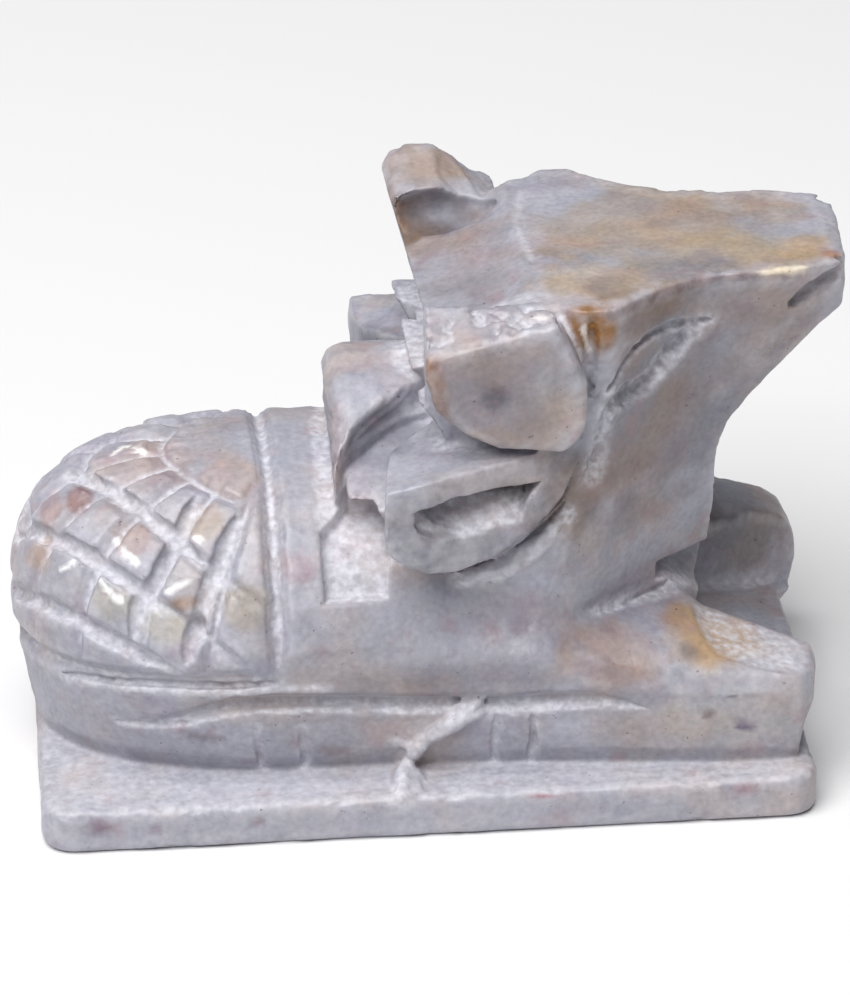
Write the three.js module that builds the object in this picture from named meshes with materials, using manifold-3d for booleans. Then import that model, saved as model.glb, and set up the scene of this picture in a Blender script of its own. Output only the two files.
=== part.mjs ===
import * as THREE from 'three';
import { mergeVertices } from 'three/addons/utils/BufferGeometryUtils.js';
import Module from 'manifold-3d';

// A seated bull carved with its plinth from one small block of soapstone.
// Millimetres. X runs from tail to muzzle, Y to the bull's left, Z up; the origin is under the plinth.

// Plinth
const PLINTH = { length: 64, width: 38, height: 3.8, corner: 2.6, arris: 0.5 };

// Body: sections across X, with the heights of its back and shoulder, its widest half-width,
// and the share of that width left at the plinth
const TAIL_X = -33.6;
const RUMP_X = -12;
const KNEE_START_X = 27;
const KNEE_X = 32.8;
const BODY_BASE = 2.6;
const BODY = [
  { x: -34, top: 27.5, shoulder: 14, half: 16.5, foot: 0.83 },
  { x: -12, top: 27.7, shoulder: 14, half: 16.5, foot: 0.82 },
  { x: -5, top: 27.2, shoulder: 14, half: 16.0, foot: 0.86 },
  { x: 1, top: 26.5, shoulder: 13.5, half: 15.6, foot: 0.9 },
  { x: 7, top: 23.5, shoulder: 12.5, half: 15.6, foot: 0.92 },
  { x: 12, top: 18.6, shoulder: 11, half: 15.8, foot: 0.93 },
  { x: 18, top: 15.9, shoulder: 10, half: 16.0, foot: 0.95 },
  { x: 24, top: 14.3, shoulder: 9.2, half: 16.3, foot: 0.97 },
  { x: 34, top: 14.2, shoulder: 8.8, half: 16.3, foot: 0.98 },
];
const REAR_LEAN = 1.7;

// Space between the forelegs
const GAP = { back: 20, front: 36, backHalf: 5, frontHalf: 12.4, backFloor: 9.6, frontFloor: 6, lean: 0.9 };

// Hump: a broad collar across the withers, as [y, z] from its crest down one side
const HUMP = { back: -7.4, front: 5, foot: 20, bevel: 1.7 };
const HUMP_SIDE = [[3, 34.7], [5.8, 33.5], [8, 32], [12, 29.8], [14.2, 27.6], [13.2, 24.6], [12, 20]];
const CREST_Z = 35.3;
const FAR_TURN = 0.018;

// Steep step down from the crest to a lower lobe behind each ear, as [x, y]
const STEP = {
  edge: [[-8.6, 11], [-7.1, 9.8], [-5.6, 7.8], [-3.5, 6.2], [-1.2, 4.6], [1.4, 3.4], [6, 2.4]],
  floor: 31.1,
  slope: 0.42,
};

// Head and neck, seen from the side, and their half-width at the neck's foot and at the crown
const CROWN_Z = 44.7;
const NECK_Z = 16;
const CREASE = { x: 12.3, half: 12.2, taper: 0.76, most: 14.2 };
const CROWN_PLAN = [
  { x: -2, half: 11.5 },
  { x: 8.5, half: 12 },
  { x: 13, half: 15 },
  { x: 14.5, half: 14.6 },
  { x: 18, half: 11.3 },
  { x: 22, half: 9.1 },
  { x: 26, half: 8.5 },
  { x: 30, half: 8.1 },
  { x: 35.5, half: 6.9 },
];

// Nose: the front face is cut a little askew, further forward on the bull's left
const NOSE = { x: 35.1, skew: 0.09 };

// Far knee, raised a little above the near one
const FAR_KNEE = { back: 16, front: 34.7, inner: 8.6, outer: 16.4, foot: 3, top: 15.2 };

// Saddle cloth: grooves in degrees round the rump from the tail, and in degrees above its middle
const RUMP_CENTRE = new THREE.Vector3(-12, 0, 13);
const CLOTH = {
  rings: [
    { rise: 13, droop: 0.0095, reach: 60 },
    { rise: 28, droop: 0.0085, reach: 80 },
    { rise: 43, droop: 0.0062, reach: 85 },
    { rise: 59, droop: 0.002, reach: 80 },
  ],
  ribs: [-68, -50, -32, -15, 2, 17, 33, 50, 68],
  ribTop: 66,
  ribTwist: 0.002,
  width: 1.5,
  depth: 0.85,
  hem: { low: -3.5, rise: 6, reach: 89, width: 1.7, depth: 0.9 },
  border: { x: -12.4, width: 1.9, depth: 0.9 },
};

// Face, in side view: rough grooves round the eye, running on down the neck, the mouth, and a nick in the lip
const EYE = [
  { line: [[21.6, 41], [18.6, 41], [16.6, 39.6], [15.4, 36.6]], width: 0.9, depth: 0.5 },
  { line: [[20.9, 40.6], [19.7, 38.4], [17.9, 36.2], [15.2, 34.6]], width: 1.5, depth: 0.6 },
  { line: [[15.6, 34.2], [14.9, 31.8], [14.2, 29.6]], width: 1.8, depth: 0.5 },
];
const MOUTH = { line: [[34.3, 43], [32.6, 42], [30.6, 40.8]], width: 1.6, depth: 1 };
const LIP_NICK = { line: [[30.6, 38.4], [29, 37.4]], width: 0.8, depth: 0.4 };
const TEMPLE = { line: [[12.9, 44.4], [12.9, 42], [12.7, 38], [12.3, 35.4]], width: 1.5, depth: 1.2 };

// Hollow in the far horn's inner side: x, y, z and its half-sizes
const HORN_HOLLOW = [3.6, 9.2, 43.6, 4.4, 1.5, 2.6];

// Ears: an almond hollow in the side, and a long groove curving under it
const EAR_HOLLOW = { x: 3.2, y: 18.2, z: 29.2, length: 5.2, height: 2.3, depth: 1.7, tilt: 0.13, brow: 1.1 };
const EAR_ARC = {
  line: [[-0.6, 23.4], [2.4, 23.5], [5.6, 24.6], [8.6, 26.3], [10.6, 28.2], [11.6, 30]],
  width: 1.5,
  depth: 1,
};

// Tail: low ridges between the folded legs, spilling on to the plinth in a lump (x, y, z and its half-sizes)
const TAIL = [
  { line: [[4.4, 10.4], [1.2, 8], [-0.8, 6.8], [-1.2, 4.2]], width: 1.4, height: 0.7 },
  { line: [[-2.4, 7.6], [-0.8, 7]], width: 1, height: 0.4 },
];
const TAIL_SPILL = [-1.9, 16, 3.8, 1.4, 3, 0.6];

// Long grooves that part the folded legs from the flanks, and the hoof marks below them
const FOLD = {
  line: [
    [-25.6, 8.2], [-21.5, 9], [-16.4, 10.9], [-10.7, 11.1], [-2, 10.3], [6, 10], [14, 10.2], [19.6, 8.7],
  ],
  step: 3.4,
  width: 1.8,
  depth: 1.3,
};
const HOOF_MARKS = { at: [-13.7, -9.9, 5.9, 8.8], foot: 4.1, top: 9, lean: -0.3, width: 1, depth: 0.6 };
const REACH = 60;

const wasm = await Module();
wasm.setup();

// Closed geometry as a solid that can be joined and cut
function solid(geometry) {
  geometry.deleteAttribute('normal');
  geometry.deleteAttribute('uv');
  const merged = mergeVertices(geometry, 1e-4);
  const mesh = new wasm.Mesh({
    numProp: 3,
    vertProperties: merged.attributes.position.array,
    triVerts: merged.index.array,
  });
  mesh.merge();
  return new wasm.Manifold(mesh);
}

// Moves every vertex of a geometry by a function of its position
function reshape(geometry, place) {
  const position = geometry.attributes.position;
  const point = new THREE.Vector3();
  for (let i = 0; i < position.count; i += 1) {
    point.fromBufferAttribute(position, i);
    place(point);
    position.setXYZ(i, point.x, point.y, point.z);
  }
  return geometry;
}

// A closed skin over rings: place(along, angle, radius) gives a point, radius 0 in the middle of each end
function loft(rings, sides, place) {
  const drum = new THREE.CylinderGeometry(1, 1, 1, sides, rings);
  return reshape(drum, (point) => {
    const radius = Math.hypot(point.x, point.z);
    const angle = radius > 0 ? Math.atan2(point.z, -point.x) : 0;
    point.copy(place(point.y + 0.5, angle, Math.min(1, Math.round(radius))));
  });
}

// Smooth value between the rows of a table
function sample(rows, key, x) {
  const last = rows.length - 1;
  let i = rows.findIndex((row) => row.x > x) - 1;
  if (i === -2) i = last - 1;
  i = Math.max(0, i);
  const [a, b] = [rows[i], rows[i + 1]];
  const before = rows[Math.max(0, i - 1)];
  const after = rows[Math.min(last, i + 2)];
  const span = b.x - a.x;
  const t = THREE.MathUtils.clamp((x - a.x) / span, 0, 1);
  const slopeA = ((b[key] - before[key]) / (b.x - before.x)) * span;
  const slopeB = ((after[key] - a[key]) / (after.x - a.x)) * span;
  const t2 = t * t;
  const t3 = t2 * t;
  return (
    (2 * t3 - 3 * t2 + 1) * a[key] + (t3 - 2 * t2 + t) * slopeA
    + (3 * t2 - 2 * t3) * b[key] + (t3 - t2) * slopeB
  );
}

// Quarter of a rounded end: 1 where it starts, 0 at its tip
function roundEnd(u, power) {
  const s = THREE.MathUtils.clamp(u, 0, 0.998);
  return (1 - s ** power) ** (1 / power);
}

function signedPower(value, power) {
  return Math.sign(value) * Math.abs(value) ** power;
}

// Section of the body at x
function section(x) {
  const rear = (RUMP_X - x) / (RUMP_X - TAIL_X);
  const front = (x - KNEE_START_X) / (KNEE_X - KNEE_START_X);
  const shoulder = sample(BODY, 'shoulder', x);
  const top = sample(BODY, 'top', x);
  return {
    shoulder,
    half: sample(BODY, 'half', x) * roundEnd(rear, 2.1) * roundEnd(front, 5),
    rise: (top - shoulder) * roundEnd(rear, 3.1) * roundEnd(front, 2.6),
    drop: (shoulder - BODY_BASE) * roundEnd(rear, 12) * roundEnd(front, 3.4),
    foot: sample(BODY, 'foot', x),
    round: x < 15 ? 2.4 : 2.4 + 0.1 * (x - 15),
    rear: Math.max(0, rear),
  };
}

function body() {
  const middle = (TAIL_X + KNEE_X) / 2;
  const reach = (KNEE_X - TAIL_X) / 2;
  const skin = loft(26, 26, (along, angle, radius) => {
    const x = middle - reach * Math.cos(Math.PI * along);
    const s = section(x);
    const upper = Math.sin(angle) >= 0;
    const power = 2 / (upper ? s.round : 9);
    const across = radius * signedPower(Math.cos(angle), power);
    const up = radius * signedPower(Math.sin(angle), power) * (upper ? s.rise : s.drop);
    const low = upper ? 0 : -up / (s.shoulder - BODY_BASE);
    const lean = REAR_LEAN * s.rear * low;
    return new THREE.Vector3(x + lean, across * s.half * (1 - (1 - s.foot) * low), s.shoulder + up);
  });
  return solid(skin);
}

// Block whose Y faces are moved by a function of x and z
function slab(x0, x1, z0, z1, columns, rows, widen) {
  const box = new THREE.BoxGeometry(x1 - x0, 2, z1 - z0, columns, 1, rows);
  return reshape(box, (point) => {
    point.x += (x0 + x1) / 2;
    point.z += (z0 + z1) / 2;
    point.y *= widen(point.x, point.z);
  });
}

function foreGap() {
  const share = (x) => (x - GAP.back) / (GAP.front - GAP.back);
  const box = slab(GAP.back, GAP.front, 0, 12, 6, 1, (x, z) => {
    const half = THREE.MathUtils.lerp(GAP.backHalf, GAP.frontHalf, share(x));
    return half - (z < 6 ? GAP.lean : 0);
  });
  return solid(reshape(box, (point) => {
    point.z += THREE.MathUtils.lerp(GAP.backFloor, GAP.frontFloor, share(point.x));
  }));
}

// Outline in the XZ plane pushed through from y0 to y1, its corners then moved by adjust
function sideBlock(outline, y0, y1, bevel = 0, adjust = () => {}) {
  const shape = new THREE.Shape(outline.map(([x, z]) => new THREE.Vector2(x, z)));
  const block = new THREE.ExtrudeGeometry(shape, {
    depth: Math.abs(y1 - y0) - 2 * bevel,
    bevelEnabled: bevel > 0,
    bevelThickness: bevel,
    bevelSize: bevel,
    bevelOffset: -bevel,
    bevelSegments: 1,
  });
  block.rotateX(Math.PI / 2);
  block.translate(0, Math.max(y0, y1) - bevel, 0);
  return solid(reshape(block, adjust));
}

function farKnee() {
  const { back, front, inner, outer, foot, top } = FAR_KNEE;
  const outline = [
    [back, foot], [front - 3.2, foot], [front - 1.8, 4.6], [front - 0.5, 6.4],
    [front, 8.6], [front - 0.1, 10.4],
    [front - 1, 12.2], [front - 2.6, 13.4], [27, top], [23, 15], [back, 13.6],
  ];
  const width = (x, z) => 16.6 - 0.16 * Math.max(0, z - 10) ** 1.5;
  const lean = solid(slab(back - 1, front + 1, 0, 20, 4, 4, width));
  return sideBlock(outline, inner, outer, 0.9).intersect(lean).subtract(foreGap());
}

// Half-width of the head and neck, a plane carved straight from the crown's edge to the neck's foot
function headHalf(x, z) {
  const crown = sample(CROWN_PLAN, 'half', x);
  const foot = Math.min(CREASE.most, CREASE.half - CREASE.taper * (x - CREASE.x));
  const up = Math.max(0, (z - NECK_Z) / (CROWN_Z - NECK_Z));
  return Math.max(0.8, THREE.MathUtils.lerp(foot, crown, up));
}

function headAndNeck() {
  const outline = [
    [2, 8], [22.6, 8], [24.2, 16], [24.8, 22], [24.8, 27.6], [25.5, 29.9], [27.2, 32.1], [30.4, 35.4],
    [34.1, 39.4], [36, 41], [36.5, 43.2], [36, 44.3], [34, 44.8], [8.5, 44.7], [6.2, 43.4],
    [2.8, 42.2], [-0.7, 41.6], [-0.7, 36], [1.5, 33],
  ];
  const widths = reshape(slab(-2, 36, 7, 46, 16, 4, headHalf), (point) => {
    const front = THREE.MathUtils.smoothstep(point.x, 30, 36);
    point.x += front * (NOSE.x + NOSE.skew * point.y - 36);
  });
  return sideBlock(outline, -20, 20).intersect(solid(widths));
}

// Cutter over one side of the hump: it leaves the step and the sloping lobe
function humpStep(side) {
  const corners = [...STEP.edge, [6, 20], [-8.6, 20]];
  const plan = new THREE.Shape(corners.map(([x, y]) => new THREE.Vector2(x, side * y)));
  const block = new THREE.ExtrudeGeometry(plan, { depth: 12, bevelEnabled: false });
  return solid(reshape(block, (point) => {
    point.z += STEP.floor - (point.z < 1 ? STEP.slope * (Math.abs(point.y) - 6) : 0);
  }));
}

function hump() {
  const { back, front, bevel } = HUMP;
  const left = HUMP_SIDE.map(([y, z]) => new THREE.Vector2(-y, z)).reverse();
  const right = HUMP_SIDE.map(([y, z]) => new THREE.Vector2(y, z));
  const shape = new THREE.Shape([...left, new THREE.Vector2(0, CREST_Z), ...right]);
  const block = new THREE.ExtrudeGeometry(shape, {
    depth: front - back - 2 * bevel,
    bevelThickness: bevel,
    bevelSize: bevel,
    bevelOffset: -bevel,
    bevelSegments: 2,
  });
  block.rotateX(Math.PI / 2);
  block.rotateZ(Math.PI / 2);
  block.translate(back + bevel, 0, 0);
  reshape(block, (point) => {
    if (point.x < 0) point.x += FAR_TURN * Math.max(0, point.y - 2) ** 2;
  });
  return solid(block).subtract(humpStep(-1)).subtract(humpStep(1));
}

// Near horn, broad and blunt with a chipped top; the far one is shorter and stands higher
function horns() {
  const near = [
    [-1, 41.4], [-0.5, 40], [0.4, 37.2], [2.8, 35.2], [5.5, 33.8], [10.4, 33.4], [11.8, 34.3],
    [12.4, 36.2], [12.3, 39.4], [11.3, 42], [9.9, 44.6], [8, 44.9], [1, 44.9], [-0.9, 44.8],
  ];
  const far = [
    [-1, 44.6], [-0.4, 40.4], [0.4, 37.4], [2.2, 35.8], [4, 34.7], [6.4, 33.9], [8.6, 34.6],
    [8.4, 43.2], [7, 43.8], [4.8, 45.4], [3.2, 46.4], [1, 46.4], [-0.4, 45.8],
  ];
  const chipped = (point) => {
    if (point.z > 43 && point.y < -15) point.z -= 0.26 * (10 - point.x);
  };
  const sloped = (point) => {
    if (point.z > 44) point.z -= 0.22 * (16.6 - point.y);
  };
  return sideBlock(near, -16.9, -11.2, 0.4, chipped).add(sideBlock(far, 9.4, 17.4, 0.6, sloped));
}

function ear(side) {
  const tip = side > 0 ? -3.8 : -4.9;
  const outline = [
    [tip + 0.2, 31.6], [tip, 29.2], [-3.6, 26], [-1.2, 24.2], [1.8, 23.8], [5.3, 24.7], [8.6, 26.4],
    [10.6, 28.4], [12, 31], [12, 34], [8, 33], [2, 32.6],
  ];
  const block = sideBlock(outline, side * 5, side * 19.6, 0.3);
  const corners = [
    [tip, 19.2], [-4, 12.4], [-2.6, 11], [1.5, 6.8], [4, 5], [13, 5], [13, 13.5], [8.3, 15.9], [3.2, 17.6],
    [-0.5, 18.6],
  ];
  const plan = new THREE.Shape(corners.map(([x, y]) => new THREE.Vector2(x, side * y)));
  const column = new THREE.ExtrudeGeometry(plan, { depth: 20, bevelEnabled: false });
  return block.intersect(solid(column.translate(0, 0, 18)));
}

function plinth() {
  const half = new THREE.Vector2(PLINTH.length / 2, PLINTH.width / 2).subScalar(PLINTH.corner);
  const shape = new THREE.Shape();
  shape.absarc(half.x, half.y, PLINTH.corner, 0, Math.PI / 2);
  shape.absarc(-half.x, half.y, PLINTH.corner, Math.PI / 2, Math.PI);
  shape.absarc(-half.x, -half.y, PLINTH.corner, Math.PI, 1.5 * Math.PI);
  shape.absarc(half.x, -half.y, PLINTH.corner, 1.5 * Math.PI, 2 * Math.PI);
  return solid(new THREE.ExtrudeGeometry(shape, {
    depth: PLINTH.height - 2 * PLINTH.arris,
    bevelThickness: PLINTH.arris,
    bevelSize: PLINTH.arris,
    bevelOffset: -PLINTH.arris,
    bevelSegments: 1,
    curveSegments: 2,
  }).translate(0, 0, PLINTH.arris));
}

// Where a ray meets the uncut stone
function strike(stone, from, toward) {
  const direction = toward.clone().sub(from).normalize();
  const [hit] = new THREE.Raycaster(from, direction).intersectObject(stone);
  return { point: hit.point, normal: direction.negate() };
}

// Wedge along a line on the stone, narrower near its ends: a groove, or with a negative depth a ridge
function wedge(marks, width, depth, taper = 1, lift = 0.5) {
  const last = marks.length - 1;
  const wide = (width / 2) * (1 + lift / Math.abs(depth));
  const skin = loft(last, 3, (along, angle, radius) => {
    const i = Math.round(along * last);
    const { point, normal } = marks[i];
    const ahead = marks[Math.min(last, i + 1)].point.clone().sub(marks[Math.max(0, i - 1)].point).normalize();
    const across = ahead.clone().cross(normal).normalize();
    const deep = Math.sin(angle) > 0.9;
    const inward = ahead.cross(across);
    const fade = Math.min(1, 0.25 + (0.75 * Math.min(i, last - i)) / taper);
    const narrowed = wide * (0.3 + 0.7 * fade) * Math.sign(depth);
    const side = radius * (Math.cos(angle) / Math.cos(Math.PI / 6)) * narrowed;
    const sink = deep ? depth * fade : -lift * Math.sign(depth);
    return point.clone().addScaledVector(across, deep ? 0 : side).addScaledVector(inward, radius * sink);
  });
  return solid(skin);
}

// Points at even steps along a line of [x, z] corners
function along(corners, step) {
  const points = corners.map(([x, z]) => new THREE.Vector3(x, 0, z));
  const line = new THREE.CatmullRomCurve3(points, false, 'centripetal');
  return line.getSpacedPoints(Math.max(2, Math.round(line.getLength() / step)));
}

// Marks on a side of the bull, side -1 the near one, struck square to its length
function sideMarks(stone, corners, side, step = 2) {
  return along(corners, step).map(({ x, z }) => (
    strike(stone, new THREE.Vector3(x, side * REACH, z), new THREE.Vector3(x, 0, z))
  ));
}

function rumpMark(stone, turn, rise) {
  const [a, b] = [turn, rise].map(THREE.MathUtils.degToRad);
  const out = new THREE.Vector3(-Math.cos(a) * Math.cos(b), -Math.sin(a) * Math.cos(b), Math.sin(b));
  return strike(stone, RUMP_CENTRE.clone().addScaledVector(out, REACH), RUMP_CENTRE);
}

function series(from, to, steps, make) {
  return Array.from({ length: steps + 1 }, (_, i) => make(THREE.MathUtils.lerp(from, to, i / steps)));
}

// Quilted saddle cloth over the rump, with its lower and front borders
function clothCuts(stone) {
  const { rings, ribs, ribTop, ribTwist, width, depth, hem, border } = CLOTH;
  const cuts = rings.map(({ rise, droop, reach }) => {
    const height = (turn) => rise - droop * (Math.abs(turn) - 30) ** 2;
    return wedge(series(-reach, reach, 15, (turn) => rumpMark(stone, turn, height(turn))), width, depth);
  });
  ribs.forEach((turn) => {
    const leaning = (rise) => rumpMark(stone, turn * (1 + ribTwist * rise), rise);
    cuts.push(wedge(series(1, ribTop, 7, leaning), width, depth));
  });
  const low = (turn) => hem.low + hem.rise * Math.min(1, Math.abs(turn) / 80);
  const edge = series(-hem.reach, hem.reach, 20, (turn) => rumpMark(stone, turn, low(turn)));
  cuts.push(wedge(edge, hem.width, hem.depth));
  const middle = new THREE.Vector3(border.x, 0, RUMP_CENTRE.z);
  const arch = series(3, 177, 14, (turn) => {
    const a = THREE.MathUtils.degToRad(turn);
    const out = new THREE.Vector3(0, -Math.cos(a), Math.sin(a));
    return strike(stone, middle.clone().addScaledVector(out, REACH), middle);
  });
  cuts.push(wedge(arch, border.width, border.depth));
  return cuts;
}

function legCuts(stone, side) {
  const fold = wedge(sideMarks(stone, FOLD.line, side, FOLD.step), FOLD.width, FOLD.depth, 3);
  const { at, foot, top, lean, width, depth } = HOOF_MARKS;
  const marks = at.map((x) => ({ line: [[x, foot], [x + lean, top]], width, depth }));
  return [fold, ...lineCuts(stone, side, marks)];
}

function ball(x, y, z, a, b, c, tilt = 0) {
  const sphere = new THREE.SphereGeometry(1, 12, 8);
  sphere.rotateX(Math.PI / 2);
  sphere.scale(a, b, c);
  sphere.rotateY(-tilt);
  sphere.translate(x, y, z);
  return solid(sphere);
}

function lineCuts(stone, side, carvings) {
  return carvings.map(({ line, width, depth }) => wedge(sideMarks(stone, line, side), width, depth));
}

function faceCuts(stone, side) {
  return lineCuts(stone, side, [...EYE, MOUTH, LIP_NICK, TEMPLE]);
}

// Almond hollow with a flat brow, and the groove under the ear
function earCuts(stone, side) {
  const { x, y, z, length, height, depth, tilt, brow } = EAR_HOLLOW;
  const hollow = ball(x, side * y, z, length, depth, height, tilt);
  const lid = new THREE.BoxGeometry(20, 10, 6);
  lid.translate(0, 0, brow + 3);
  lid.rotateY(-tilt);
  lid.translate(x, side * y, z);
  return [hollow.subtract(solid(lid)), ...lineCuts(stone, side, [EAR_ARC])];
}

function tailRidges(stone, side) {
  const ridges = TAIL.map(({ line, width, height }) => (
    wedge(sideMarks(stone, line, side, 1.2), width, -height)
  ));
  const [x, y, ...rest] = TAIL_SPILL;
  return [...ridges, ball(x, side * y, ...rest)];
}

function toGeometry(manifold) {
  const mesh = manifold.getMesh();
  const geometry = new THREE.BufferGeometry();
  geometry.setAttribute('position', new THREE.BufferAttribute(mesh.vertProperties, 3));
  geometry.setIndex(new THREE.BufferAttribute(mesh.triVerts, 1));
  geometry.computeVertexNormals();
  return geometry;
}

function bull() {
  const masses = [plinth(), farKnee(), headAndNeck(), hump(), horns(), ear(-1), ear(1)];
  const block = masses.reduce((stone, mass) => stone.add(mass), body().subtract(foreGap()));
  const stone = new THREE.Mesh(toGeometry(block));
  const cuts = [...clothCuts(stone), ball(...HORN_HOLLOW)];
  const ridges = [];
  [-1, 1].forEach((side) => {
    cuts.push(...legCuts(stone, side), ...faceCuts(stone, side), ...earCuts(stone, side));
    ridges.push(...tailRidges(stone, side));
  });
  const carved = cuts.reduce((rest, cut) => rest.subtract(cut), block);
  return ridges.reduce((rest, ridge) => rest.add(ridge), carved);
}

const soapstone = new THREE.MeshStandardMaterial({ color: 0xa7a3ab, roughness: 0.6, metalness: 0 });

const figure = new THREE.Group();
const carved = new THREE.Mesh(toGeometry(bull()), soapstone);
carved.name = 'carved_nandi_bull';
figure.add(carved);

export default figure;
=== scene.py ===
"""Looks of a small seated bull carved with its plinth in mottled soapstone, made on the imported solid.

Lengths are millimetres until they reach Blender. X runs from tail to muzzle, Y away from the camera, Z up.
"""

import math

import bpy
import numpy as np
import openvdb as vdb
from mathutils import Matrix, Vector


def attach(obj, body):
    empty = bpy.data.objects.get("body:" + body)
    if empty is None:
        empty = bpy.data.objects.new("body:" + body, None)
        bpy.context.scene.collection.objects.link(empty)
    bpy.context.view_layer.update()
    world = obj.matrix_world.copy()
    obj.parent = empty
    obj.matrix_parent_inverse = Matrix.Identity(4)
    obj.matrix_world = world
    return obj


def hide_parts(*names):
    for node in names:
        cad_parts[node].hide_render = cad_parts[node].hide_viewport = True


NODE = "carved_nandi_bull"
MM = 0.001

# Grid of the stone's signed distance
PITCH = 0.2
BAND = 10
ROUNDING = 0.17
SMOOTHING = 1.1
FACET = (0.07, 0.17)
BLEND = 0.16
MOST_TRIANGLES = 190000

# Camera of the photograph
CAMERA_AT = (-33.49, -348.16, 199.8)
CAMERA_RISE = 27.0
CAMERA_TURN = 5.67
LENS = 170.41

# Chisel strokes: radius, depth (negative for a ridge), roughness, white powder left in them, and their points
BOTH_SIDES = {
    "upper lid": (0.5, 0.75, 0.1, 0.9, [
        (23.2, -8.0, 40.6), (20.1, -9.5, 40.8), (18.2, -10.1, 40.8), (16.6, -11.5, 40.1), (15.4, -12.8, 38.7),
        (14.4, -13.4, 37.1),
    ]),
    "lower lid": (1.25, 0.9, 0.22, 1, [
        (22.1, -8.4, 40.2), (20.8, -9.0, 38.9), (19.7, -9.3, 37.6), (18.5, -9.8, 36.5), (16.9, -10.9, 35.9),
        (15.3, -12.6, 35.9), (14.2, -13.3, 35.1),
    ]),
    "lid tail": (1.2, 0.6, 0.3, 0.85, [(14.3, -13.3, 35.0), (14.1, -13.2, 33.2), (13.7, -13, 31.2), (13.3, -12.9, 29.4)]),
    "mouth": (1.0, 1.45, 0.05, 0, [(36, -6.9, 44.0), (34, -6.8, 43), (32.4, -6.6, 42.2), (30.2, -6.9, 40.9)]),
    "lip nick": (0.4, 0.4, 0.05, 0, [(28.9, -5.5, 35.9), (30, -5.3, 36.6), (31.1, -5.2, 37.4)]),
    "hem line": (0.35, 0.6, 0.05, 0.3, [
        (-29.9, -8.6, 11.3), (-27.5, -11.0, 12.0), (-25.1, -12.5, 12.3), (-22.7, -13.5, 12.7), (-18.7, -14.7, 12.9),
        (-15.5, -15.4, 13.1), (-12.3, -15.8, 13.3),
    ]),
    "hem edge": (0.3, -0.12, 0.05, 0.95, [
        (-29.8, -8.8, 10.6), (-27.5, -11.0, 11.3), (-25.1, -12.5, 11.6), (-22.7, -13.5, 12.0), (-18.7, -14.7, 12.2),
        (-15.5, -15.4, 12.4), (-12.3, -15.8, 12.6), (-8.5, -15.7, 12.5),
    ]),
    "fold start": (0.25, 0.3, 0.05, 0.9, [(-25.4, -11.4, 8.2), (-23.2, -12.5, 8.4), (-20.8, -13.7, 8.8), (-19.3, -14.1, 9.1)]),
    "ear arc": (0.45, 0.9, 0.04, 0, [
        (1.2, -13.8, 21.9), (3.4, -13.8, 22), (5.6, -13.8, 22.5), (7.1, -13.8, 23.3), (8.4, -13.8, 24.4), (9.8, -13.7, 25.7),
        (11.2, -13.4, 27.5),
    ]),
    "arc lip": (0.9, -0.4, 0.3, 1, [
        (2.6, -13.6, 21.1), (4.8, -13.7, 21.3), (6.2, -13.8, 21.8), (7.8, -13.8, 22.8), (9.4, -13.8, 24.2), (11.4, -13.4, 26.2),
    ]),
    "hoof mark a": (0.3, 0.35, 0.05, 1, [(-14.4, -14.8, 8.9), (-14.1, -13.9, 6.1), (-13.7, -13.4, 4.2)]),
    "hoof mark b": (0.3, 0.35, 0.05, 1, [(-10.5, -14.9, 8.6), (-10.4, -14.1, 6.0), (-10.3, -13.1, 4.2)]),
    "hoof mark c": (0.3, 0.35, 0.05, 0.9, [(5.5, -15.0, 8.9), (5.4, -14.8, 6.9), (5.3, -14.4, 4.2)]),
    "hoof mark d": (0.3, 0.35, 0.05, 0.9, [(8.4, -15.0, 8.8), (8.6, -14.4, 6.0), (8.2, -14.7, 4.2)]),
    "tail": (0.75, -0.5, 0.12, 0.9, [
        (4.6, -14.8, 9.3), (2.8, -15.0, 9.0), (1.6, -15.0, 8.3), (0.1, -15.0, 7.0), (-1.2, -14.9, 6.0), (-1.9, -14.2, 4.6),
    ]),
    "tail hook": (0.4, -0.35, 0.1, 0.9, [(-2.6, -14.5, 6.6), (-1.9, -14.4, 6.2), (-1.3, -14.6, 6.0)]),
    "tail tip": (0.8, -0.45, 0.15, 0.9, [(-1.9, -14.6, 5.0), (-2.3, -15.6, 4.2), (-2.6, -17.6, 4.0), (-2.8, -18.9, 3.4)]),
    "cloth upper": (0.75, 0.55, 0.15, 0.8, [
        (-28.4, 0.2, 25.3), (-25.4, -3.8, 25.7), (-22.7, -7.3, 25.3), (-20.2, -10.2, 24.1), (-18.3, -12.3, 22.8),
    ]),
    "cloth middle": (0.7, 0.5, 0.15, 0.8, [
        (-32.9, -0.1, 19.6), (-30.2, -5.2, 22.0), (-27.6, -8.3, 22.1), (-25.2, -10.8, 21.4), (-23.0, -12.6, 20.4),
        (-21.5, -13.5, 19.6),
    ]),
    "cloth lower": (0.7, 0.5, 0.15, 0.85, [
        (-33.1, -1.9, 15.3), (-31.5, -6.6, 16.9), (-28.4, -10.3, 17.1), (-25.4, -12.8, 16.1), (-23.2, -13.5, 15.0),
        (-20.5, -14.6, 14.6),
    ]),
    "cloth cross a": (0.75, 0.8, 0.1, 0.4, [
        (-18.3, -7.6, 26.5), (-19.5, -9.7, 24.7), (-20.9, -11.5, 22.8), (-22.2, -12.6, 21.1), (-23.6, -13.3, 19.6),
        (-24.0, -13.6, 16.8),
    ]),
    "cloth cross b": (0.85, 0.85, 0.1, 0.5, [
        (-15.2, -9.8, 25.3), (-16.2, -11.8, 24.1), (-17.0, -12.8, 22.5), (-17.9, -14.3, 21.2), (-18.5, -15.0, 19.8),
        (-19.3, -15.3, 17.5), (-19.8, -15.3, 15.4),
    ]),
}
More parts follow.
